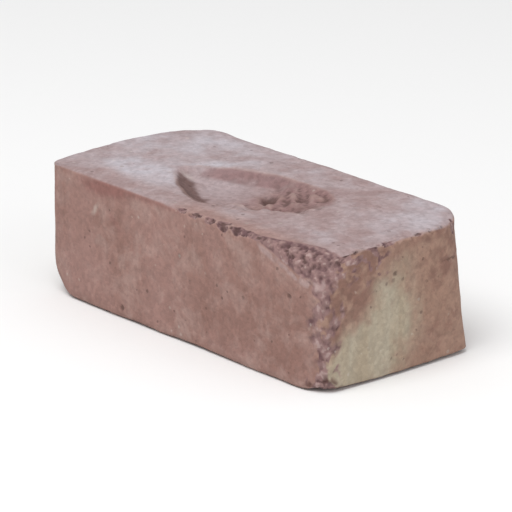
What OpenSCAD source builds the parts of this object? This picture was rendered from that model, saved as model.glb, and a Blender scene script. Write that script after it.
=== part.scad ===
// Clay brick with a frog, one solid of fired clay, lying on its lower bed.
// Millimetres. The origin is the centre of the lower bed, X runs along the length, Z is up.

/* [Brick] */
// Length of the stretcher face
brick_length = 230; // [180:1:300]
// Width of the bed and of the header face
brick_width = 110; // [90:1:150]
// Height of one course
brick_height = 76; // [40:1:100]

/* [Arrises] */
// Radius of the long soft edges
arris_radius = 3.5; // [1:0.5:6]
// Radius of the upright corners, seen from above
corner_radius = 14; // [6:0.5:18]
// Radius of the two softer upright corners, at the back, at their foot
soft_corner_radius = 12; // [6:0.5:24]
// Radius of the same two corners at their top
soft_top_radius = 30; // [6:0.5:36]

/* [Frog] */
// Length of the frog from its pointed tip to its blunt end
frog_length = 112; // [90:1:124]
// Width of the frog at its widest
frog_width = 66; // [44:1:76]
// Depth of the frog's floor below the upper bed
frog_depth = 8.5; // [7:0.5:16]
// Rise of the frog's floor from its middle to each end
frog_floor_rise = 6; // [1:0.5:6.5]
// Distance from the left-hand header to the frog's tip
frog_tip_inset = 58; // [30:1:66]
// Distance of the frog's middle line from the brick's, towards the front
frog_aside = 7.5; // [0:0.5:10]
// Length at which the frog's two curved sides would meet again
frog_side_length = 142; // [140:1:220]
// Radius of the two arcs of the frog's blunt end, seen from above
frog_end_radius = 64; // [60:1:120]
// Distance of each of their centres from the frog's middle line, which rounds off the shoulders
frog_end_spread = 8; // [2:0.5:12]
// Slope of the frog's wall away from upright, in degrees
frog_draft = 32; // [10:1:45]
// Radius of the hollow where the wall meets the floor
frog_floor_radius = 5; // [1:0.5:7]
// Radius of the rolled rim where the wall meets the upper bed
frog_rim_radius = 2; // [0.5:0.5:4]

/* [Damage] */
// Length that the broken upper corner takes off the stretcher's edge
break_along_length = 52; // [10:1:70]
// Length that the broken upper corner takes off the header's edge
break_along_width = 18; // [5:1:40]
// Height that the broken upper corner takes off the upright edge
break_down = 18; // [5:1:30]
// Size of the nick in the lower corner below the break, along all three edges
nick_size = 14; // [12:1:20]
// Size of the worn lower corner at the other end of the stretcher, along all three edges
wear_size = 20; // [12:1:26]

/* [Hidden] */
hull_fn = 32;
bowl_fn = 96;
dish_fn = 240;
dish_clear = 0.5;
arc_steps = 6;
cut_clear = 1;
fired_clay = [0.66, 0.49, 0.45];

// Each side of the frog is one arc from its tip: chord frog_side_length, rise half of frog_width
frog_side_radius = (frog_side_length * frog_side_length + frog_width * frog_width) / (4 * frog_width);
frog_side_offset = frog_side_radius - frog_width / 2;

// The two arcs of the blunt end cross on the middle line, at the end of frog_length
frog_end_centre = frog_length - sqrt(frog_end_radius * frog_end_radius - frog_end_spread * frog_end_spread);

// The floor's dish is one arc along the frog: chord frog_length, rise frog_floor_rise and a little more,
// so that it leaves the level middle of the floor at a clear angle
dish_rise = frog_floor_rise + dish_clear;
dish_radius = (frog_length * frog_length / 4 + dish_rise * dish_rise) / (2 * dish_rise);

// Distance from a wall's sharp edge to where a round of this radius leaves it
function tangent_length(radius) = radius * tan((90 - frog_draft) / 2);

// Points of an arc about a centre, from one angle to another
function arc(centre, radius, from, to) = [
    for (step = [0 : arc_steps])
        let (angle = from + (to - from) * step / arc_steps)
            centre + radius * [cos(angle), sin(angle)]
];

// One corner of the mould's box: a roll of the arris radius swept round the upright corner
module corner_roll(plan_radius, edge_radius) {
    rotate_extrude($fn = hull_fn)
        translate([plan_radius - edge_radius, 0])
            circle(edge_radius, $fn = hull_fn);
}

// The full brick before the frog is pressed, with every arris rounded
module moulded_block() {
    hull()
        for (x = [-1, 1], y = [-1, 1], top = [false, true]) {
            back_radius = top ? soft_top_radius : soft_corner_radius;
            plan_radius = y > 0 ? back_radius : corner_radius;
            z = top ? brick_height - arris_radius : arris_radius;
            translate([x * (brick_length / 2 - plan_radius), y * (brick_width / 2 - plan_radius), z])
                corner_roll(plan_radius, arris_radius);
        }
}

// Half section of a bowl with this radius at its rim, with the upper bed at height 0
function bowl_section(radius) =
    let (
        wall_foot = radius - frog_depth * tan(frog_draft),
        floor_end = wall_foot - tangent_length(frog_floor_radius),
        rim_end = radius + tangent_length(frog_rim_radius)
    )
    concat(
        [[0, -frog_depth]],
        arc([floor_end, frog_floor_radius - frog_depth], frog_floor_radius, -90, -frog_draft),
        arc([rim_end, -frog_rim_radius], frog_rim_radius, 180 - frog_draft, 90),
        [[rim_end, cut_clear], [0, cut_clear]]
    );

// A turned bowl as deep as the frog
module bowl(radius) {
    rotate_extrude($fn = bowl_fn)
        polygon(bowl_section(radius));
}

// The roller that gives the frog's floor its rise towards both ends
module floor_dish() {
    translate([frog_length / 2, 0, dish_radius - frog_depth - dish_clear])
        rotate([90, 0, 0])
            cylinder(r = dish_radius, h = 2 * frog_width, center = true, $fn = dish_fn);
}

// The kick that presses the frog: two wide bowls overlap in a pointed oval, two smaller ones cut one end blunt,
// and the dish lifts the floor at both ends
module frog_kick() {
    translate([frog_tip_inset - brick_length / 2, -frog_aside, brick_height])
        intersection() {
            floor_dish();
            intersection_for (side = [-1, 1])
                translate([frog_side_length / 2, side * frog_side_offset, 0])
                    bowl(frog_side_radius);
            intersection_for (side = [-1, 1])
                translate([frog_end_centre, side * frog_end_spread, 0])
                    bowl(frog_end_radius);
        }
}

// What a break takes off one corner: all that lies outside the plane through three points,
// one on each edge, at the given distances from the corner. Turn says which way is outwards.
module broken_corner(corner, turn, distance) {
    outward = [for (i = [0 : 2]) turn[i] / distance[i]];
    normal = outward / norm(outward);
    depth = 1 / norm(outward);
    block = 2 * max(distance);
    translate(corner - depth * normal)
        rotate([0, acos(normal.z), atan2(normal.y, normal.x)])
            translate([-block, -block, 0])
                cube([2 * block, 2 * block, block]);
}

// The finished brick
module brick() {
    upper_corner = [brick_length / 2, -brick_width / 2, brick_height];
    lower_corner = [brick_length / 2, -brick_width / 2, 0];
    worn_corner = [-brick_length / 2, -brick_width / 2, 0];
    color(fired_clay)
        difference() {
            moulded_block();
            frog_kick();
            broken_corner(upper_corner, [1, -1, 1], [break_along_length, break_along_width, break_down]);
            broken_corner(lower_corner, [1, -1, -1], [nick_size, nick_size, nick_size]);
            broken_corner(worn_corner, [-1, -1, -1], [wear_size, wear_size, wear_size]);
        }
}

brick();
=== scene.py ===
import math

import bpy
import numpy as np
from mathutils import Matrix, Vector


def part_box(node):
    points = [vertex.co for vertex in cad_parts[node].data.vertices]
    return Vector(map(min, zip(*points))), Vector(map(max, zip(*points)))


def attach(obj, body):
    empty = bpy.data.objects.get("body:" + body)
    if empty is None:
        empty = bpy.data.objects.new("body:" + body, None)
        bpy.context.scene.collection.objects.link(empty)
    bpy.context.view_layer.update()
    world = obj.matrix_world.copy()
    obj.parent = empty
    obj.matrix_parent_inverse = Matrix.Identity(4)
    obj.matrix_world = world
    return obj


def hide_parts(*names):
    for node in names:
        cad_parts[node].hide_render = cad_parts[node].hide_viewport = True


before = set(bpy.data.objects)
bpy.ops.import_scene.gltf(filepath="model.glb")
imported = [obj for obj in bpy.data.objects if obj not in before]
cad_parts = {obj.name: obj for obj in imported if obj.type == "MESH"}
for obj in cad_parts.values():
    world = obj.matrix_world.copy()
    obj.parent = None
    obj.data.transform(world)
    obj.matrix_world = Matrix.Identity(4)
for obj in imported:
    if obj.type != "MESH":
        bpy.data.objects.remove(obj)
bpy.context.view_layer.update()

mm = 0.001
brickLow, brickHigh = (np.array(corner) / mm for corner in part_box("brick"))
brickSize = brickHigh - brickLow
halfSize = brickSize / 2
print("frame loaded, brick of", np.round(brickSize, 1), "mm")

# noise


def cellRandom(cell, seed):
    # one repeatable number from 0 to 1 for a cell of whole numbers: odd multipliers, then mixing shifts
    k = cell.astype(np.int64).astype(np.uint32)
    h = np.uint32(seed * 747796405 % 2 ** 32)
    for axis, factor in enumerate((0x9E3779B1, 0x85EBCA77, 0xC2B2AE3D)):
        h = h ^ k[..., axis] * np.uint32(factor)
    for shift, factor in ((15, 0x2C1B3C6D), (12, 0x297A2D39)):
        h = (h ^ (h >> np.uint32(shift))) * np.uint32(factor)
    return (h ^ (h >> np.uint32(15))) / (2.0 ** 32 - 1)


def softNoise(points, size, seed):
    # gradient noise: the eight corners of a cell each hold a random slope, blended by a quintic fade;
    # size is the cell's, in millimetres, along one or all three axes
    gain = 1.7   # brings it to about -1 to 1
    q = points / np.asarray(size, float)
    base = np.floor(q).astype(np.int64)
    part = q - base
    fade = part ** 3 * (part * (part * 6 - 15) + 10)
    total = np.zeros(len(points))
    for corner in np.ndindex(2, 2, 2):
        step = np.array(corner)
        slope = np.stack([cellRandom(base + step, seed * 7 + n) for n in range(3)], 1) * 2 - 1
        weight = np.prod(np.where(step == 1, fade, 1 - fade), 1)
        total += weight * np.einsum("ij,ij->i", slope, part - step)
    return total * gain


def layeredNoise(points, size, seed, layers=4, fall=0.5):
    # fractal sum: each layer is half the size and fall times the height of the one before
    total, height = np.zeros(len(points)), 1.0
    for layer in range(layers):
        total += height * softNoise(points, np.asarray(size, float) / 2 ** layer, seed + layer)
        height *= fall
    return total


def pebbleCells(points, size, seed):
    # cellular noise: distance, in cells, to the nearest random centre, and that cell's own random number
    q = points / size
    base = np.floor(q).astype(np.int64)
    near = np.full(len(points), 9.0)
    owner = np.zeros(len(points))
    for step in np.ndindex(3, 3, 3):
        cell = base + np.array(step) - 1
        centre = cell + np.stack([cellRandom(cell, seed * 5 + n) for n in range(3)], 1)
        gap = np.linalg.norm(q - centre, axis=1)
        closer = gap < near
        owner = np.where(closer, cellRandom(cell, seed * 5 + 3), owner)
        near = np.where(closer, gap, near)
    return near, owner


def rise(value, low, high):
    # smooth step from 0 at low to 1 at high
    t = np.clip((value - low) / (high - low), 0, 1)
    return t * t * (3 - 2 * t)


def softMax(a, b, blend):
    # the greater of the two, rounded over by a hyperbola where they cross
    return (a + b + np.sqrt((a - b) ** 2 + blend * blend)) / 2


def softMin(a, b, blend):
    # the lesser of the two, rounded over in the same way
    return (a + b - np.sqrt((a - b) ** 2 + blend * blend)) / 2


def nearMax(a, b, blend):
    # the greater of the two, rounded over by a parabola where they are closer than blend
    close = np.clip(blend - np.abs(a - b), 0, None)
    return np.maximum(a, b) + close * close / (4 * blend)


def haze(u, v, centre, reach):
    # bell curve of strength 1 at its centre, with its own reach along each of two directions
    return np.exp(-((u - centre[0]) / reach[0]) ** 2 - ((v - centre[1]) / reach[1]) ** 2)


# the brick's lattice

lattice = {
    "step": 1.24,             # usual distance between lattice lines, mm
    "fineStep": 0.74,         # distance at the arrises and at the broken corner
    "fineReach": 6.0,         # how far in from an arris the lines stay close
    "breakReach": (52.0, 17.0, 22.0),   # the same at the broken corner, along the three edges
    "core": 20.0,             # depth of the inner box that the skin is cast from
    "samples": 4001,          # places along an edge at which the closeness of the lines is summed
    "overshoot": 1.02,        # how far the search for the skin goes, as a share of the way to the lattice
    "halvings": 24,           # steps of that search
}


def spacedLine(axis):
    # positions from end to end; the number of lines a millimetre falls off from each end as a bell curve
    half = halfSize[axis]
    place = np.linspace(-half, half, lattice["samples"])
    turn = brickForm["breakTurn"][axis]
    bell = np.exp(-((half + turn * place) / lattice["fineReach"]) ** 2)
    bell += np.exp(-((half - turn * place) / lattice["breakReach"][axis]) ** 4)
    density = 1 / lattice["step"] + (1 / lattice["fineStep"] - 1 / lattice["step"]) * bell
    count = np.concatenate([[0], np.cumsum((density[1:] + density[:-1]) / 2 * np.diff(place))])
    lines = int(round(count[-1]))
    return np.interp(np.linspace(0, count[-1], lines + 1), count, place)


def boxSkin(lines):
    # six grids of two line numbers, the third held at one end
    # equal lattice numbers share one vertex, so the skin is closed
    counts = [len(line) for line in lines]
    quads, sides = [], []
    for axis in range(3):
        u, v = (axis + 1) % 3, (axis + 2) % 3
        gridU, gridV = np.meshgrid(np.arange(counts[u]), np.arange(counts[v]), indexing="ij")
        for end in (0, counts[axis] - 1):
            place = np.empty(gridU.shape + (3,), np.int64)
            place[..., axis], place[..., u], place[..., v] = end, gridU, gridV
            code = (place[..., 0] * counts[1] + place[..., 1]) * counts[2] + place[..., 2]
            quad = np.stack([code[:-1, :-1], code[1:, :-1], code[1:, 1:], code[:-1, 1:]], -1).reshape(-1, 4)
            quads.append(quad if end else quad[:, ::-1])
            sides.append(np.full(len(quad), axis * 2 + (end > 0)))
    codes, faces = np.unique(np.concatenate(quads), return_inverse=True)
    points = np.stack([lines[0][codes // (counts[1] * counts[2])],
                       lines[1][codes // counts[2] % counts[1]],
                       lines[2][codes % counts[2]]], 1)
    return points, faces.reshape(-1, 4), np.concatenate(sides)


# the brick's form

brickForm = {
    "arrisRadius": 3.0,
    "arrisSwell": 1.4,           # how much that radius grows here and there
    "arrisLimits": (2.0, 9.0),   # least and greatest radius where it is chipped
    "cornerRadius": 10.0,
    "softCornerRadius": 8.0,     # the two back corners at their foot
    "softTopRadius": 30.0,       # the same at their top
    "bow": 1.4,                  # deepest hollow of a face from drying, mm
    "endBulge": 1.6,             # how far a header falls back towards its upright arrises
    "endReach": 24.0,            # how far in from the header that fall begins
    "breakAlong": np.array([52.0, 18.0, 18.0]),   # what the break takes off the edges at the upper corner
    "breakTurn": np.array([1.0, -1.0, 1.0]),      # which way that corner points
    "breakBlend": 1.6,           # softness of the edge of the break
    "breakRunOut": 7.0,          # how much softer it is at the header
    "nickAlong": np.array([14.0, 14.0, 14.0]),    # the nick in the lower corner below the break
    "nickTurn": np.array([1.0, -1.0, -1.0]),
    "nickBlend": 2.0,
    "wearAlong": np.array([20.0, 20.0, 20.0]),    # the worn lower corner at the other end of the stretcher
    "wearTurn": np.array([-1.0, -1.0, -1.0]),
    "wearBlend": 6.0,
    "chips": ((4, 5, 1.0), (15, 5, 1.4), (24, 3.4, 2.0),
              (34, 3.6, 4.0), (44, 3.6, 3.0), (58, 4, 2.2)),   # x, reach and depth on the front arris
    "pebble": 5.0,               # size of the crumbs in a break
    "smallPebble": 0.45,         # size of the smaller ones, as a share of it
    "crumb": 2.2,                # how far the crumbs stand out
    "smallCrumb": 0.8,           # how far the smaller ones stand out
    "crumbSwell": 1.4,           # slow unevenness under them
}

frogForm = {
    "length": 112.0,
    "width": 66.0,
    "depth": 8.5,
    "tipInset": 58.0,        # distance from the left-hand header to the tip
    "aside": 7.5,            # distance of the middle line from the brick's, towards the front
    "sideLength": 142.0,     # length at which the two curved sides would meet again
    "endRadius": 64.0,       # radius of the blunt end
    "draft": 32.0,           # slope of the wall away from upright, degrees
    "tipBlend": 2.0,         # softness of the corner between the sides
    "endBlend": 7.0,         # softness of the corners at the blunt end
    "floorBlend": 6.0,       # softness where the wall meets the floor
    "rimBlend": 1.6,         # softness where it meets the upper bed
    "rimWander": 1.1,        # how far the rim strays from its line
    "wallShare": 0.85,       # distance to the sloping wall as a share of the height above it
    "clods": 3.6,            # height of the torn clods on the floor
    "roundClods": 3.0,       # height of the rounder ones among them
    "roundClodSize": 8.5,
    "floorRise": 4.0,        # how much the floor rises from its middle to each end
    "levelMiddle": 0.5,      # how much of that rise the level middle cuts off
    "silt": 1.2,             # how much washed-in clay lies on it towards both ends
    "nearInset": 6.0,        # how far the near rim has slumped into the frog
    "nearFill": 5.0,         # how much the floor rises to the near rim, which is washed soft
    "farFill": 3.0,          # how much torn clay lies along the far wall
    "ridges": 1.8,           # height of the torn ridges across the blunt end
    "ridgeWidth": 2.6,
    "ridgePlaces": (6.7, 20.6, 29.9),   # where they lie, measured slantwise across the brick from its middle
    "ridgeWay": (0.66, 0.75),           # the direction that this is measured in
    "pits": ((5, 6, 4.6, 4.0), (38, 16, 4.0, 2.6), (22, 12, 3.4, 2.6)),   # x, y, radius and depth of tears
    "pitSlant": 0.8,         # how far a tear leans as it runs back
    "pitWidth": 0.6,
    "pitFray": 5.0,          # raggedness of its edge
}

box, faces, faceSide = boxSkin([spacedLine(axis) for axis in range(3)])
box[:, 2] += halfSize[2]
print("lattice of", len(box), "points and", 2 * len(faces), "triangles")


def edgeRounds(points):
    # radius of the arris near each point: a steady round, a slow swell, and chips where a fine noise peaks,
    # more of them where it is worn
    swell = np.clip(softNoise(points, 34, 11), 0, 1) * brickForm["arrisSwell"]
    frontTop = rise(points[:, 0], -16, 10) * rise(-points[:, 1], 30, 44) * rise(points[:, 2], 45, 62)
    along = points[:, 0] + 2.5 * layeredNoise(points, 6, 13, 2)
    chipped = sum(deep * np.exp(-((along - place) / reach) ** 4) for place, reach, deep in brickForm["chips"])
    headerTop = rise(points[:, 0], 90, 105) * rise(points[:, 2], 55, 66)
    upright = rise(points[:, 0], 92, 104) * rise(-points[:, 1], 35, 45)
    worn = np.clip(frontTop + 0.6 * headerTop + 0.7 * upright, 0, 1)
    chips = rise(layeredNoise(points, 8, 12, 3) + 0.26 * worn, 0.34, 0.72)
    radius = brickForm["arrisRadius"] + swell + chips * (0.7 + 1.7 * worn) + 0.8 * chipped * frontTop
    return np.clip(radius, *brickForm["arrisLimits"]), worn


def frogFall(points, tear):
    # depth of the frog below the upper bed: distance inside three circles, turned into a sloping wall,
    # stopped by a lumpy floor
    f = frogForm
    radius = (f["sideLength"] ** 2 + f["width"] ** 2) / (4 * f["width"])
    x = points[:, 0] + halfSize[0] - f["tipInset"]
    y = points[:, 1] + f["aside"]
    offset = radius - f["width"] / 2
    inside = softMin(radius - np.hypot(x - f["sideLength"] / 2, y - offset),
                     radius - np.hypot(x - f["sideLength"] / 2, y + offset), f["tipBlend"])
    blunt = f["endRadius"] - np.hypot(x - f["length"] + f["endRadius"], y)
    inside = softMin(inside, blunt, f["endBlend"]) + tear["rim"]
    wall = inside / math.tan(math.radians(f["draft"]))
    fall = softMin(wall, f["depth"] - tear["clods"], f["floorBlend"])
    return softMax(fall, 0, f["rimBlend"]), inside


def breakPlane(points, turn, along):
    # distance outside the plane through one point on each of the three edges of a corner
    corner = np.where(turn > 0, brickHigh, brickLow)
    outward = turn / along
    return (points - corner) @ outward / np.linalg.norm(outward) + 1 / np.linalg.norm(outward)


def bodyDistance(points, edge, fields):
    # distance to the brick: a box rounded in plan and at its arrises, less the bow, the breaks and the frog
    form = brickForm
    soft = form["softCornerRadius"]
    soft = soft + (form["softTopRadius"] - soft) * points[:, 2] / brickSize[2]
    plan = np.where(points[:, 1] > 0, soft, form["cornerRadius"])
    qx = np.abs(points[:, 0]) - halfSize[0] + plan
    qy = np.abs(points[:, 1]) - halfSize[1] + plan
    side = np.hypot(np.maximum(qx, 0), np.maximum(qy, 0)) + np.minimum(np.maximum(qx, qy), 0) - plan + edge
    lid = np.abs(points[:, 2] - halfSize[2]) - halfSize[2] + edge
    far = np.hypot(np.maximum(side, 0), np.maximum(lid, 0)) + np.minimum(np.maximum(side, lid), 0) - edge
    far = far + fields["bow"]
    breakBlend = form["breakBlend"] + form["breakRunOut"] * rise(points[:, 0], 90, 112)
    broken = breakPlane(points, form["breakTurn"], form["breakAlong"]) + fields["crumb"]
    nicked = breakPlane(points, form["nickTurn"], form["nickAlong"]) + fields["crumb"]
    worn = breakPlane(points, form["wearTurn"], form["wearAlong"])
    far = nearMax(far, broken, breakBlend)
    far = nearMax(far, nicked, form["nickBlend"])
    far = nearMax(far, worn, form["wearBlend"])
    return np.maximum(far, (points[:, 2] - brickSize[2] + fields["frog"]) * frogForm["wallShare"])


def castSkin(points, distance):
    # each point runs on a straight line from the inner box through its lattice place,
    # to where the distance crosses 0
    middle = np.array([0, 0, halfSize[2]])
    reach = halfSize - lattice["core"]
    root = np.clip(points - middle, -reach, reach) + middle
    low, high = np.zeros(len(points)), np.full(len(points), lattice["overshoot"])
    for turn in range(lattice["halvings"]):
        half = (low + high) / 2
        outside = distance(root + (points - root) * half[:, None]) > 0
        high = np.where(outside, half, high)
        low = np.where(outside, low, half)
    return root + (points - root) * ((low + high) / 2)[:, None]


def pointNormals(points):
    # the faces' diagonal cross products, summed at each vertex
    a, b, c, d = (points[faces[:, n]] for n in range(4))
    cross = np.cross(c - a, d - b)
    corners = faces.ravel()
    total = np.stack([np.bincount(corners, np.repeat(cross[:, n], 4), len(points)) for n in range(3)], 1)
    return total / np.linalg.norm(total, axis=1, keepdims=True)


edgePairs = np.unique(np.sort(np.concatenate([faces[:, [n, (n + 1) % 4]] for n in range(4)]), 1), axis=0)
edgeCount = np.bincount(edgePairs.ravel(), minlength=len(box))


def relaxed(values, rounds):
    # each vertex goes halfway to the mean of its neighbours, this many times over
    for turn in range(rounds):
        total = np.stack([np.bincount(edgePairs[:, 0], values[edgePairs[:, 1], n], len(values))
                          + np.bincount(edgePairs[:, 1], values[edgePairs[:, 0], n], len(values))
                          for n in range(values.shape[1])], 1)
        values = (values + total / edgeCount[:, None]) / 2
    return values


edge, worn = edgeRounds(box)
boxX, boxY = box[:, 0], box[:, 1]
offMiddle = boxY + frogForm["aside"]   # distance from the frog's middle line
alongFrog = boxX + halfSize[0] - frogForm["tipInset"]
endward = alongFrog / frogForm["length"] * 2 - 1   # -1 and 1 at the frog's ends
rightEnd = rise(boxX, -15, 25)

# height of the frog's floor above its full depth: clods, the dish, washed-in clay, torn ridges and tears
lumpy = np.clip(layeredNoise(box, (21, 13, 20), 31, 2, 0.4) + 0.1, 0, 1.2)
clods = frogForm["clods"] * lumpy * (0.2 + 0.8 * rightEnd)
clods += (0.3 + 0.5 * rightEnd) * layeredNoise(box, (11, 7, 9), 34, 3)
strayed = box + 1.5 * layeredNoise(box, 6, 38, 2)[:, None]
clodNear, clodOwner = pebbleCells(strayed, frogForm["roundClodSize"], 37)
clods += frogForm["roundClods"] * rightEnd * (clodOwner > 0.35) * np.clip(0.62 - clodNear, 0, 1)
dished = (frogForm["floorRise"] + frogForm["levelMiddle"]) * endward ** 2 - frogForm["levelMiddle"]
clods += np.clip(dished, 0, None)
clods += frogForm["silt"] * (1 - rise(boxX, -40, 0) + 0.9 * rise(boxX, 16, 54))
clods += frogForm["nearFill"] * rise(-offMiddle, 0, 24) * rise(boxX, -12, 10) * (1 - rise(boxX, 44, 56))
clods += frogForm["farFill"] * rise(boxX, -6, 16) * rise(offMiddle, 0, 18)
wayX, wayY = frogForm["ridgeWay"]
acrossRidges = box[:, :2] @ np.array([wayX, wayY])
alongRidges = box[:, :2] @ np.array([-wayY, wayX])
wavy = acrossRidges + 2.2 * layeredNoise(box, 11, 40, 3)
ridgeGaps = [(wavy - place) / frogForm["ridgeWidth"] for place in frogForm["ridgePlaces"]]
tornRidge = sum(np.exp(-gap ** 2) for gap in ridgeGaps) - 0.45
ridgeFrame = np.stack([acrossRidges, alongRidges, box[:, 2]], 1)
tornRidge = 0.6 * tornRidge + 0.5 * layeredNoise(ridgeFrame, (7, 12, 20), 39, 3)
torn = rise(boxX, -8, 8) * rise(alongRidges, -34, -20) * (1 - rise(alongRidges, 12, 24))
clods += frogForm["ridges"] * torn * np.clip(tornRidge + 0.15, -0.5, 0.8)
for pitX, pitY, pitReach, pitDeep in frogForm["pits"]:
    pitAlong = boxX - pitX + frogForm["pitSlant"] * (boxY - pitY)   # a tear is drawn out slantwise
    pitGap = np.hypot(pitAlong, frogForm["pitWidth"] * (boxY - pitY))
    pitGap += frogForm["pitFray"] * layeredNoise(box, 9, 36, 4)
    clods -= pitDeep * (1 - rise(pitGap, -0.3 * pitReach, 1.2 * pitReach))

slump = frogForm["nearInset"] * rise(-offMiddle, 2, 14) * rise(boxX, -4, 24)
tear = {"rim": frogForm["rimWander"] * layeredNoise(box, 19, 35, 3) - slump, "clods": clods}
frogDepth, frogInside = frogFall(box, tear)
onTop = box[:, 2] > brickSize[2] - 1e-6
endFall = rise(np.abs(boxX), halfSize[0] - brickForm["endReach"], halfSize[0]) * (boxY / halfSize[1]) ** 2
bow = brickForm["bow"] * np.clip(0.45 + 0.6 * softNoise(box, 80, 41) + 0.2 * softNoise(box, 27, 42), 0, 1)
fields = {
    "bow": bow + brickForm["endBulge"] * endFall,
    "crumb": 0.0,
    "frog": np.where(onTop, frogDepth, 0),
}
plain = castSkin(box, lambda points: bodyDistance(points, edge, fields))   # before the breaks crumble
near, pebbleOwner = pebbleCells(plain, brickForm["pebble"], 21)
smallNear = pebbleCells(plain, brickForm["pebble"] * brickForm["smallPebble"], 22)[0]
fields["crumb"] = brickForm["crumb"] * (near - 0.5) + brickForm["smallCrumb"] * (smallNear - 0.5)
fields["crumb"] += brickForm["crumbSwell"] * layeredNoise(plain, 15, 23, 3)
skin = castSkin(box, lambda points: bodyDistance(points, edge, fields))
normal = pointNormals(skin)
broadNormal = relaxed(normal, 6)
broadNormal /= np.linalg.norm(broadNormal, axis=1, keepdims=True)
print("skin cast")

# relief that the moulding, drying and handling leave

reliefForm = {
    "grain": 0.15,      # sandy grain, mm
    "lumps": 0.26,      # lumps the size of a fingertip
    "ripple": 0.30,     # slow unevenness of a face
    "drag": 0.10,       # marks drawn along a face when the mould comes off
    "pit": 0.5,         # depth of a pit as a share of its radius
    "pitCell": 11.0,    # usual distance between places where a pit may lie
    "pitShare": 0.08,   # how many of these places have one
    "crumble": 1.0,     # how deep the crumbs are parted
    "crease": 1.0,      # depth of the crease on the right-hand header
    "notch": 1.1,       # depth of the notches along its upper arris
}

facing = (0.6, 0.85)   # how squarely a point looks along an axis to count as part of that face
upFace = rise(broadNormal[:, 2], *facing)
sideFace = rise(np.abs(broadNormal[:, 1]), *facing)
endFace = rise(np.abs(broadNormal[:, 0]), *facing)
inFrog = rise(frogInside, -1.5, 2.5) * onTop
breakGap = breakPlane(skin, brickForm["breakTurn"], brickForm["breakAlong"])
nickGap = breakPlane(skin, brickForm["nickTurn"], brickForm["nickAlong"])
broken = np.clip(rise(breakGap, -3.4, -0.9) + rise(nickGap, -2.6, -0.6), 0, 1)
arris = rise(1 - np.max(np.abs(relaxed(normal, 3)), 1), 0.03, 0.16)
fray = 5 * layeredNoise(skin, 7, 44, 3)
upright = rise(skin[:, 0] + fray, 99, 108) * rise(-skin[:, 1] + fray, 39, 48)   # the arris below the break
upright *= rise(layeredNoise(skin, (9, 9, 15), 43, 3), -0.5, 0.1)
crumbly = np.clip(broken + arris * worn * rise(edge, 3.6, 5.0) + 0.7 * upright, 0, 1)

drag = layeredNoise(skin, (3.4, 9, 46), 51, 2) * sideFace
drag += layeredNoise(skin, (52, 3.2, 9), 52, 2) * upFace * (1 - inFrog)
drag += layeredNoise(skin, (9, 3.6, 40), 53, 2) * endFace
pitNear, pitOwner = pebbleCells(skin, reliefForm["pitCell"], 54)
pitRadius = np.where(pitOwner < reliefForm["pitShare"], 1.0 + 14 * pitOwner, 0)
pitBowl = np.clip(pitRadius ** 2 - (pitNear * reliefForm["pitCell"]) ** 2, 0, None)
pits = reliefForm["pit"] * np.sqrt(pitBowl)
crease = np.abs((skin[:, 2] - 54.5) + 0.1 * (skin[:, 1] - 38) + 1.6 * layeredNoise(skin, 12, 55, 3))
crease = (1 - rise(crease, 0.2, 1.9)) * endFace * (skin[:, 0] > 0) * rise(skin[:, 1], 18, 40)
notches = rise(softNoise(skin, (30, 6.2, 30), 57) + 0.35 * softNoise(skin, 3.1, 58), 0.05, 0.40)
notches *= rise(skin[:, 0], 107, 112) * rise(skin[:, 2], 70, 73.5) * rise(skin[:, 1], -42, -34)
inward = reliefForm["grain"] * (1 + softNoise(skin, 3.0, 56)) / 2
inward += reliefForm["lumps"] * (1 + layeredNoise(skin, 9, 60, 2)) / 2 * (1 - crumbly)
inward += reliefForm["ripple"] * (1 + layeredNoise(skin, 24, 59, 2)) / 2 * (1 - 0.5 * crumbly)
inward += reliefForm["drag"] * (1 + drag) / 2 * (1 - crumbly)
inward += pits * (1 - 0.6 * crumbly) + reliefForm["crease"] * crease + reliefForm["notch"] * notches
inward += crumbly * reliefForm["crumble"] * (1.2 * near ** 2 + 0.7 * smallNear)
skin = skin - normal * np.clip(inward, 0, None)[:, None]
skin[:, 2] -= skin[:, 2].min()   # the lowest points of the bed touch the floor
skin = np.clip(skin, brickLow, brickHigh)

hollowFine = np.einsum("ij,ij->i", relaxed(skin, 4) - skin, normal)
hollowBroad = np.einsum("ij,ij->i", relaxed(skin, 30) - skin, broadNormal)
print("relief cut")

# where each colour of the fired clay lies

claySpots = {   # strength, centre and reach of soft spots, mm
    "bloom": ((1.0, (-58, -25), (27, 13)), (0.55, (98, 30), (22, 24)), (0.75, (-86, 16), (42, 34)),
              (0.6, (-62, 42), (42, 14)), (0.3, (82, 46), (30, 10))),
    "bloomSlant": ((0.8, (-57, 27), (15, 5)), (0.6, (-29, 38), (12, 5))),
    "backFlash": ((1.0, (12, 40), (52, 36)),),
    "leftFlash": ((1.0, (8, 34), (34, 34)),),
    "scorch": ((1.5, (-40, 53), (23, 22)), (0.7, (32, 55), (24, 10)), (0.55, (24, 17), (12, 10))),
    "redBand": ((1.0, (-63, 71), (22, 5)),),
    "redLine": ((0.6, (-18, 72.5), (30, 2.4)),),
    "redMark": ((0.45, (-5.4, 54), (5, 7)),),
    "limeStreak": ((1.0, (-109.6, 56.5), (2.6, 5)),),
    "blush": ((0.4, (38, 26), (10, 7)),),
    # the next four spots are painted shade in the frog
    "wedgeShadeEnd": ((0.6, (-30, -11), (4, 8)),),
    "tear": ((0.9, (4, 6), (6, 3.4)),),
    "bluntEndShade": ((0.3, (44, 4), (6, 3)),),
    "nearWallShadow": ((0.5, (23, -27), (11, 3.5)),),
    # painted highlight beside the frog's tip
    "tipLight": ((0.45, (-46, -9), (7, 3.5)),),
}


def spots(name, u, v):
    # sum of the bell curves of one list of spots
    return sum(strength * haze(u, v, centre, reach) for strength, centre, reach in claySpots[name])


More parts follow.
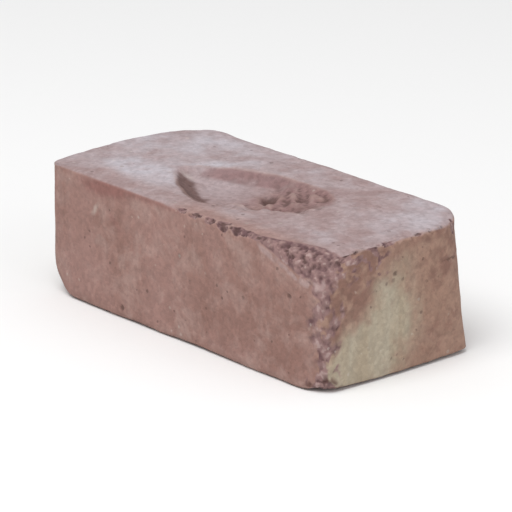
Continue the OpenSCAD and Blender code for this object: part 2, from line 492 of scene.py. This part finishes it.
x, y, z = skin.T
slant, athwart = 0.71 * (x + y), 0.71 * (y - x)   # two directions at half a right angle to the brick's own
ragged = layeredNoise(skin, 22, 61, 4)
brushed = layeredNoise(skin, (11, 11, 60), 62, 3)   # long upright wisps, as kiln gas leaves
fleck = layeredNoise(skin, 7, 67, 3)
front = sideFace * (y < 0)
rightHeader = endFace * (x > 0)

# the flash on the right-hand header has a front edge that leans back as it rises
frontEdge = -66 + 0.95 * z + 7 * brushed + 6 * ragged
backEdge = y + 6 * ragged + 6 * brushed + 0.35 * np.clip(34 - z, 0, 30)
flash = rise(y, frontEdge - 18, frontEdge + 20) * (1 - rise(backEdge, -16, 30))
flash *= (1.15 - 0.7 * rise(z + 8 * ragged, 20, 60)) * (1 - 0.6 * rise(z, 64, 74)) * (1 + 0.35 * fleck)
uneven = 1 + 0.8 * ragged + 0.6 * brushed
hiddenFlash = spots("backFlash", x, z) * uneven * sideFace * (y > 0)
hiddenFlash += spots("leftFlash", y, z) * uneven * endFace * (x < 0)
scorch = (spots("scorch", y, z) + 0.45 * rise(z, 58, 70)) * (0.8 + 1.3 * fleck + 0.3 * ragged)
strewn = rightHeader * rise(z + 0.4 * y, 34, 56) * (1 - rise(y, -26, 8))   # crumbs beside the break
strewn *= rise(layeredNoise(skin, 5, 68, 3), -0.15, 0.35)

# red band, pale streak and pale rim of the break on the front stretcher
redBand = spots("redBand", x, z - 2 * ragged) + spots("redLine", x, z) + spots("redMark", x + 0.9 * z, z)
paleAndHighlight = spots("limeStreak", x - 0.7 * z, z) * rise(ragged + 0.5 * brushed, -0.9, 0.3) * front
rim = np.exp(-((breakGap + 4.0) / 1.5) ** 2) * front * rise(x, 50, 68)
rim *= rise(layeredNoise(skin, 7, 63, 2), -0.5, 0.2)

# bare torn clay at the frog's blunt end, with a near side that is dusty like the bed and a paler far wall
nearSide = 1 - rise(alongRidges - 0.8 * np.clip(8 - acrossRidges, 0, 20) + 4 * ragged, -36, -24)
bare = rise(0.5 * layeredNoise(skin, (13, 8, 13), 64, 3) - tornRidge, -0.30, 0.30)
cleanCorner = (1 - rise(acrossRidges + 3 * ragged, -2, 8)) * rise(-alongRidges, 2, 12)
tornClay = inFrog * rise(x, -8, 14) * (0.42 + 0.70 * bare)
tornClay *= 1 - 0.9 * rise(-y + 5 * ragged, 13, 24) * (1 - rise(x, 32, 46))
tornClay *= (1 - 0.85 * nearSide) * (1 - 0.9 * cleanCorner)
tornClay *= 1 - 0.35 * rise(y, 6, 16)
# painted highlight beside the frog's tip and on the crests of the torn ridges
paleAndHighlight += spots("tipLight", x, y) * inFrog + 0.3 * inFrog * torn * rise(tornRidge, 0.0, 0.5)

# the frog's far wall and its floor; painted shade on its near wall, at its ends, in its tears, between its
# torn ridges and in the nick
farWall = rise(frogInside, -0.5, 2) * (1 - rise(frogInside, 5, 10)) * onTop
farWall *= rise(x, -56, -32) * rise(y, -12, -2) * (1 - 0.7 * rise(x, -8, 18)) * rise(ragged, -0.7, 0.2)
floorTint = rise(frogInside, 5, 10) * onTop * (0.20 + 0.12 * rise(x, -30, -5))
floorTint *= 1 - 0.8 * nearSide * rise(x, 0, 15)
paintedShade = rise(frogInside + 2.2 * rise(x, -46, -30), 0.3, 3.6) * onTop
paintedShade *= 1 - rise(frogInside + 3.4 * layeredNoise(skin, 7, 66, 3), 4, 16)
paintedShade *= rise(-y + 1.5 * fleck, 7, 14) * (0.9 + 0.9 * rise(x, -50, -34))
paintedShade *= (1 - rise(x + 8 * ragged + 4 * fleck, -12, 14)) * (0.95 + 0.3 * fleck)
paintedShade += inFrog * (spots("wedgeShadeEnd", slant, athwart) + spots("tear", x, y) * (1 + fleck))
paintedShade += inFrog * (spots("bluntEndShade", x, y) + spots("nearWallShadow", acrossRidges, alongRidges))
paintedShade += inFrog * 0.28 * torn * rise(-tornRidge, 0.0, 0.5) * (1 - nearSide)
paintedShade += 0.9 * rise(nickGap, -5.5, -2.5) * rise(layeredNoise(skin, 8, 65, 2), -0.3, 0.2)   # and painted shade in the nick

# dust with painted cool sky light on all that faces up, and a pale bloom on the upper bed
dustAndSkyLight = rise(broadNormal[:, 2], 0.25, 0.85) * (1 - 0.5 * inFrog * rise(x, -10, 15) * (1 - nearSide))
dustAndSkyLight *= 1 - 0.7 * rise(-y, 34, 50) * rise(x, -20, 10)
bloom = np.clip(spots("bloom", x, y) + spots("bloomSlant", slant, athwart) + 0.35 * ragged, 0, 1)
bloom *= upFace * (1 - inFrog) * (1 - rise(-y, 30, 46) * rise(x, -30, 0))
bloom += 0.26 * inFrog * upFace * (1 - rise(x, -28, 4))

# crumbs are pale at their middle with painted highlight and dark in the gaps with painted shade, each with a
# random tone
crumbShade = 1.1 - 0.75 * near - 0.45 * smallNear + 0.35 * (pebbleOwner - 0.5) + 0.08 * upright

masks = {
    # dust with painted cool sky light on faces that look up
    "dustAndSkyLight": dustAndSkyLight,
    "bloom": bloom,
    "cream": np.clip(1.1 * flash * rightHeader + hiddenFlash, 0, 1),
    "redBand": np.clip(redBand, 0, 1) * front,
    "blush": np.clip(farWall + tornClay + floorTint + spots("blush", x, y) * upFace, 0, 1),
    # painted shade in the frog's recesses and in the nick
    "tip": np.clip(paintedShade, 0, 1),
    # lime streak, with painted highlight beside the frog's tip and on the torn ridge crests
    "paleAndHighlight": paleAndHighlight,
    "rim": rim,
    "crumble": np.clip(crumbly + 0.75 * strewn, 0, 1),
    # painted highlight on the crumbs' middles and painted shade in their gaps
    "pebble": np.clip(crumbShade, 0, 1),
    # painted shade in the hollows, with dust
    "hollow": np.clip(rise(hollowFine, 0.03, 0.42) + 0.4 * rise(hollowBroad, 0.35, 1.9), 0, 1),
    # painted highlight on convex ridges, with wear
    "ridgeHighlight": np.clip(rise(-hollowFine, 0.04, 0.3) + 0.5 * rise(-hollowBroad, 0.25, 1.0), 0, 1),
    "scorch": np.clip(scorch, 0, 1) * rightHeader,
    "tan": rise(np.abs(broadNormal[:, 0]), 0.1, 0.9),
}


def meshFrom(name, points, quads):
    # vertices and quads written as whole arrays, smooth shaded
    mesh = bpy.data.meshes.new(name)
    mesh.from_pydata((points * mm).astype(np.float32), [], quads)
    mesh.polygons.foreach_set("use_smooth", np.ones(len(quads), bool))
    mesh.update()
    return mesh


def boxMap(mesh):
    # the six faces laid side by side in one square, each to the same scale, so the finish bakes without folds
    gap, long, wide, tall = 4.0, *brickSize
    sheet = max(long + wide + 3 * gap, 2 * (wide + tall) + 5 * gap)
    rows = np.cumsum([gap, wide + gap, wide + gap, tall + gap])
    origins = {4: (gap, rows[0]), 5: (gap, rows[1]), 2: (gap, rows[2]), 3: (gap, rows[3]),
               0: (long + 2 * gap, rows[0]), 1: (long + 2 * gap, rows[0] + tall + gap)}
    flat = np.stack([box[:, 0] + halfSize[0], box[:, 1] + halfSize[1], box[:, 2]], 1)
    place = np.empty((len(faces), 4, 2))
    for side, origin in origins.items():
        chosen = faceSide == side
        axes = ((1, 2), (0, 2), (0, 1))[side // 2]
        place[chosen] = flat[faces[chosen]][:, :, axes] + np.array(origin)
    layer = mesh.uv_layers.new(name="OFBake")
    layer.uv.foreach_set("vector", (place / sheet).astype(np.float32).ravel())


brickMesh = meshFrom("brickSkin", skin, faces)
boxMap(brickMesh)
for name, values in masks.items():
    brickMesh.attributes.new(name, "FLOAT", "POINT").data.foreach_set("value", values.astype(np.float32))
brick = bpy.data.objects.new("brick_skin", brickMesh)
bpy.context.collection.objects.link(brick)
print("brick mesh written")

# the fired clay

clayColours = {
    "rose": (0.316, 0.188, 0.164),
    "roseDeep": (0.240, 0.132, 0.108),
    "rosePale": (0.385, 0.262, 0.232),
    "cream": (0.398, 0.350, 0.272),
    "straw": (0.368, 0.305, 0.225),
    # the two mauves are the dust with painted cool sky light on faces that look up
    "mauve": (0.362, 0.280, 0.283),
    "mauveDeep": (0.300, 0.212, 0.209),
    "bloom": (0.455, 0.420, 0.455),
    "blush": (0.222, 0.126, 0.124),
    "redBand": (0.228, 0.102, 0.090),
    # painted shade in the frog's recesses and in the nick
    "tip": (0.100, 0.048, 0.040),
    "scorch": (0.215, 0.118, 0.093),
    "tan": (0.322, 0.204, 0.150),
    "crumbDark": (0.118, 0.062, 0.068),
    "crumb": (0.240, 0.146, 0.141),
    "crumbPale": (0.385, 0.278, 0.266),
    # dark of the specks, and of the painted shade in hollows
    "sootAndShade": (0.075, 0.042, 0.036),
    # lime, also used for painted highlight in the frog
    "limeAndHighlight": (0.580, 0.525, 0.470),
}

claySizes = {   # size of each mottle and height of the bump, mm
    "broad": 62.0,
    "middle": 15.0,
    "small": 4.2,
    "sand": 1.8,
    "streaks": 10.0,
    "flecks": 6.5,
    "crumbs": 3.4,
    "specks": 4.4,
    "grains": 2.1,
    "bump": 0.8,
}


def plug(tree, socket, value):
    # a socket takes a link from another socket, or a fixed value
    if isinstance(value, bpy.types.NodeSocket):
        tree.links.new(value, socket)
    elif isinstance(value, tuple) and socket.type == "RGBA":
        socket.default_value = (*value, 1.0)
    else:
        socket.default_value = value


def mixed(tree, share, first, second, mode="MIX"):
    # the first colour where the share is 0, the second where it is 1
    node = tree.nodes.new("ShaderNodeMix")
    node.data_type, node.blend_type = "RGBA", mode
    for number, value in ((0, share), (6, first), (7, second)):
        plug(tree, node.inputs[number], value)
    return node.outputs[2]


def sums(tree, work, *values):
    # one step of arithmetic
    node = tree.nodes.new("ShaderNodeMath")
    node.operation = work
    for number, value in enumerate(values):
        plug(tree, node.inputs[number], value)
    return node.outputs[0]


def stretched(tree, value, low, high, toLow=0.0, toHigh=1.0):
    # smooth step of the value: toLow at low, toHigh at high
    node = tree.nodes.new("ShaderNodeMapRange")
    node.interpolation_type = "SMOOTHSTEP"
    for number, entry in enumerate((value, low, high, toLow, toHigh)):
        plug(tree, node.inputs[number], entry)
    return node.outputs[0]


def mottle(tree, size, detail=4.0, rough=0.55, along=None, twist=0.0):
    # noise on the brick's own coordinates, with its size given in millimetres
    node = tree.nodes.new("ShaderNodeTexNoise")
    node.inputs["Scale"].default_value = 1 / (size * mm)
    node.inputs["Detail"].default_value = detail
    node.inputs["Roughness"].default_value = rough
    node.inputs["Distortion"].default_value = twist
    source = tree.nodes.new("ShaderNodeTexCoord").outputs["Object"]
    if along:
        shape = tree.nodes.new("ShaderNodeMapping")
        shape.inputs["Scale"].default_value = along
        tree.links.new(source, shape.inputs["Vector"])
        source = shape.outputs["Vector"]
    tree.links.new(source, node.inputs["Vector"])
    return node.outputs["Fac"]


def specks(tree, size):
    # cells on the brick's own coordinates: distance to the nearest centre, and the cell's own random colour
    node = tree.nodes.new("ShaderNodeTexVoronoi")
    node.inputs["Scale"].default_value = 1 / (size * mm)
    source = tree.nodes.new("ShaderNodeTexCoord").outputs["Object"]
    tree.links.new(source, node.inputs["Vector"])
    return node.outputs["Distance"], node.outputs["Color"]


def mask(tree, name):
    # one of the brick's own masks
    node = tree.nodes.new("ShaderNodeAttribute")
    node.attribute_name = name
    return node.outputs["Fac"]


def firedClay():
    # body colour in mottles of several sizes, then flash, dust with painted sky light and bloom by mask,
    # crumbs in the breaks, specks, painted highlight on ridges, and painted shade with dirt in hollows
    c = clayColours
    size = claySizes
    material = bpy.data.materials.new("fired_clay")
    material.use_nodes = True
    tree = material.node_tree
    tree.nodes.clear()
    out = tree.nodes.new("ShaderNodeOutputMaterial")
    clay = tree.nodes.new("ShaderNodeBsdfPrincipled")
    tree.links.new(clay.outputs["BSDF"], out.inputs["Surface"])

    broad = mottle(tree, size["broad"], 3.0)
    middle = mottle(tree, size["middle"], 4.0, 0.6, twist=0.4)
    small = mottle(tree, size["small"], 3.0, 0.6)
    sand = mottle(tree, size["sand"], 1.0, 0.5)
    streaks = mottle(tree, size["streaks"], 2.0, 0.5, along=(1.0, 1.0, 0.14))
    wander = sums(tree, "SUBTRACT", middle, 0.5)

    colour = mixed(tree, stretched(tree, broad, 0.35, 0.68, 0.1, 0.85), c["rose"], c["roseDeep"])
    colour = mixed(tree, stretched(tree, middle, 0.42, 0.72, 0, 0.65), colour, c["rosePale"])
    colour = mixed(tree, stretched(tree, streaks, 0.50, 0.74, 0, 0.30), colour, c["roseDeep"])

    colour = mixed(tree, stretched(tree, mask(tree, "tan"), 0, 1, 0, 0.75), colour, c["tan"])
    flecks = stretched(tree, mottle(tree, size["flecks"], 3.0, 0.6), 0.50, 0.68, 0, 0.5)
    colour = mixed(tree, sums(tree, "MULTIPLY", mask(tree, "tan"), flecks), colour, c["scorch"])
    colour = mixed(tree, stretched(tree, mask(tree, "scorch"), 0, 1, 0, 0.9), colour, c["scorch"])
    flash = sums(tree, "ADD", mask(tree, "cream"), sums(tree, "MULTIPLY", wander, 0.5))
    creamy = mixed(tree, stretched(tree, streaks, 0.35, 0.65), c["cream"], c["straw"])
    colour = mixed(tree, stretched(tree, flash, 0.02, 0.95, 0, 0.95), colour, creamy)
    colour = mixed(tree, stretched(tree, mask(tree, "redBand"), 0.05, 0.9, 0, 0.75), colour, c["redBand"])

    # dust with painted cool sky light on faces that look up
    dustySkyLit = mixed(tree, stretched(tree, middle, 0.34, 0.68), c["mauveDeep"], c["mauve"])
    dustSkyLightShare = sums(tree, "MULTIPLY", mask(tree, "dustAndSkyLight"), stretched(tree, small, 0.25, 0.6, 0.84, 0.98))
    colour = mixed(tree, dustSkyLightShare, colour, dustySkyLit)
    bloomShare = sums(tree, "MULTIPLY", mask(tree, "bloom"), stretched(tree, middle, 0.30, 0.62, 0.55, 1.0))
    colour = mixed(tree, bloomShare, colour, c["bloom"])
    blushShare = sums(tree, "ADD", mask(tree, "blush"), wander)
    colour = mixed(tree, stretched(tree, blushShare, 0.1, 0.9, 0, 0.75), colour, c["blush"])
    # lime streak, with painted highlight beside the frog's tip and on the torn ridge crests
    colour = mixed(tree, stretched(tree, mask(tree, "paleAndHighlight"), 0.1, 0.9, 0, 0.55), colour, c["limeAndHighlight"])

    # painted highlight on the crumbs' middles and painted shade in their gaps
    crumbs = mixed(tree, stretched(tree, mask(tree, "pebble"), 0.18, 0.60), c["crumbDark"], c["crumb"])
    pick = sums(tree, "SUBTRACT", mottle(tree, size["crumbs"], 2.0), 0.5)
    pick = sums(tree, "ADD", mask(tree, "pebble"), pick)
    crumbs = mixed(tree, stretched(tree, pick, 0.62, 0.94, 0, 0.85), crumbs, c["crumbPale"])
    loose = sums(tree, "MULTIPLY", sums(tree, "SUBTRACT", small, 0.5), 0.8)
    loose = sums(tree, "ADD", mask(tree, "crumble"), loose)
    colour = mixed(tree, stretched(tree, loose, 0.12, 0.62, 0, 0.92), colour, crumbs)
    colour = mixed(tree, stretched(tree, mask(tree, "rim"), 0.1, 0.9, 0, 0.7), colour, c["crumbPale"])
    # painted shade in the frog's recesses and in the nick
    shadeShare = sums(tree, "ADD", mask(tree, "tip"), sums(tree, "MULTIPLY", wander, 0.5))
    colour = mixed(tree, stretched(tree, shadeShare, 0.0, 1.2, 0, 0.92), colour, c["tip"])

    speckGap, speckTint = specks(tree, size["specks"])
    tint = tree.nodes.new("ShaderNodeSeparateColor")
    tree.links.new(speckTint, tint.inputs[0])
    dot = sums(tree, "SUBTRACT", speckGap, sums(tree, "MULTIPLY", tint.outputs[2], 0.16))
    dotEdge = sums(tree, "MULTIPLY", sums(tree, "SUBTRACT", sand, 0.5), 0.3)
    dot = stretched(tree, sums(tree, "ADD", dot, dotEdge), 0.02, 0.14, 1, 0)
    darkDots = sums(tree, "MULTIPLY", dot, stretched(tree, tint.outputs[0], 0.88, 0.92))
    paleDots = sums(tree, "MULTIPLY", dot, stretched(tree, tint.outputs[1], 0.92, 0.95))
    colour = mixed(tree, sums(tree, "MULTIPLY", darkDots, 0.45), colour, c["sootAndShade"])
    colour = mixed(tree, sums(tree, "MULTIPLY", paleDots, 0.25), colour, c["limeAndHighlight"])

    grainGap, grainTint = specks(tree, size["grains"])
    pickGrain = tree.nodes.new("ShaderNodeSeparateColor")
    tree.links.new(grainTint, pickGrain.inputs[0])
    shade = stretched(tree, pickGrain.outputs[2], 0.0, 1.0, 0.93, 1.07)
    fine = stretched(tree, small, 0.28, 0.72, 0.92, 1.08)
    grain = tree.nodes.new("ShaderNodeCombineColor")
    both = sums(tree, "MULTIPLY", shade, fine)
    for number in range(3):
        tree.links.new(both, grain.inputs[number])
    colour = mixed(tree, 1.0, colour, grain.outputs[0], "MULTIPLY")
    # painted highlight on convex ridges, with wear
    colour = mixed(tree, stretched(tree, mask(tree, "ridgeHighlight"), 0.1, 1, 0, 0.28), colour, c["rosePale"])
    # painted shade in the hollows, with dust
    colour = mixed(tree, stretched(tree, mask(tree, "hollow"), 0.05, 0.95, 0, 0.6), colour, c["sootAndShade"])
    tree.links.new(colour, clay.inputs["Base Color"])

    tree.links.new(stretched(tree, small, 0.3, 0.7, 0.80, 0.97), clay.inputs["Roughness"])
    clay.inputs["Specular IOR Level"].default_value = 0.28
    height = sums(tree, "ADD", sums(tree, "MULTIPLY", sand, 0.45), sums(tree, "MULTIPLY", small, 0.8))
    height = sums(tree, "SUBTRACT", height, sums(tree, "MULTIPLY", grainGap, 0.30))
    height = sums(tree, "SUBTRACT", height, sums(tree, "MULTIPLY", darkDots, 0.8))
    bump = tree.nodes.new("ShaderNodeBump")
    bump.inputs["Strength"].default_value = 0.5
    bump.inputs["Distance"].default_value = size["bump"] * mm
    tree.links.new(height, bump.inputs["Height"])
    tree.links.new(bump.outputs["Normal"], clay.inputs["Normal"])
    return material


brickMesh.materials.append(firedClay())
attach(brick, "root")
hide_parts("brick")
print("fired clay made")

# floor, light and camera

studio = {
    "floorReach": 9.0,
    "floorColour": (0.86, 0.86, 0.86),
    "skyStrength": 0.60,
    "keyPower": 40.0,
    "keyPlace": (0.35, -1.05, 2.15),
    "keySize": 1.8,
    "fillPower": 7.0,
    "fillPlace": (2.0, 0.1, 1.0),
    "fillSize": 1.4,
    "azimuth": 49.0,
    "elevation": 18.6,
    "distance": 2.27,
    "lens": 298.0,
    "aim": (0.0, 0.0, 0.036),
}


def paleFloor():
    # a disc: rings of growing radius carried round a circle
    spokes = 64
    radius = np.array([0.0001, 0.5, 2.0, studio["floorReach"]])
    angle = np.linspace(0, 2 * np.pi, spokes, endpoint=False)
    level = np.zeros((len(radius), spokes))
    points = np.stack([np.outer(radius, np.cos(angle)), np.outer(radius, np.sin(angle)), level], -1)
    ring, turn = np.meshgrid(np.arange(len(radius) - 1), np.arange(spokes), indexing="ij")
    after = (turn + 1) % spokes
    inner, outer = ring * spokes, (ring + 1) * spokes
    quads = np.stack([inner + turn, outer + turn, outer + after, inner + after], -1).reshape(-1, 4)
    floor = bpy.data.objects.new("floor", meshFrom("floor", points.reshape(-1, 3) / mm, quads))
    bpy.context.collection.objects.link(floor)
    material = bpy.data.materials.new("pale_floor")
    material.use_nodes = True
    surface = material.node_tree.nodes["Principled BSDF"]
    surface.inputs["Base Color"].default_value = (*studio["floorColour"], 1)
    surface.inputs["Roughness"].default_value = 0.9
    surface.inputs["Specular IOR Level"].default_value = 0.1
    floor.data.materials.append(material)


def studioLight():
    # an even pale sky, one wide soft lamp above the front and a weak one beside the right-hand header
    world = bpy.data.worlds.new("studio")
    world.use_nodes = True
    sky = world.node_tree.nodes["Background"]
    sky.inputs["Color"].default_value = (1, 1, 1, 1)
    sky.inputs["Strength"].default_value = studio["skyStrength"]
    bpy.context.scene.world = world
    for name in ("key", "fill"):
        lamp = bpy.data.lights.new(name, "AREA")
        lamp.shape, lamp.size, lamp.energy = "DISK", studio[name + "Size"], studio[name + "Power"]
        light = bpy.data.objects.new(name, lamp)
        light.location = studio[name + "Place"]
        light.rotation_euler = (-light.location).to_track_quat("-Z", "Y").to_euler()
        bpy.context.collection.objects.link(light)


def photoCamera():
    # a long lens at the photograph's height and bearing, aimed at the brick's middle
    bearing, height = math.radians(studio["azimuth"]), math.radians(studio["elevation"])
    level = math.cos(height)
    back = Vector((math.sin(bearing) * level, -math.cos(bearing) * level, math.sin(height)))
    camera = bpy.data.objects.new("camera", bpy.data.cameras.new("camera"))
    camera.data.lens = studio["lens"]
    camera.location = Vector(studio["aim"]) + back * studio["distance"]
    camera.rotation_euler = (-back).to_track_quat("-Z", "Y").to_euler()
    bpy.context.collection.objects.link(camera)
    bpy.context.scene.camera = camera


paleFloor()
studioLight()
photoCamera()
bpy.context.scene.view_settings.view_transform = "Standard"
print("stage set")
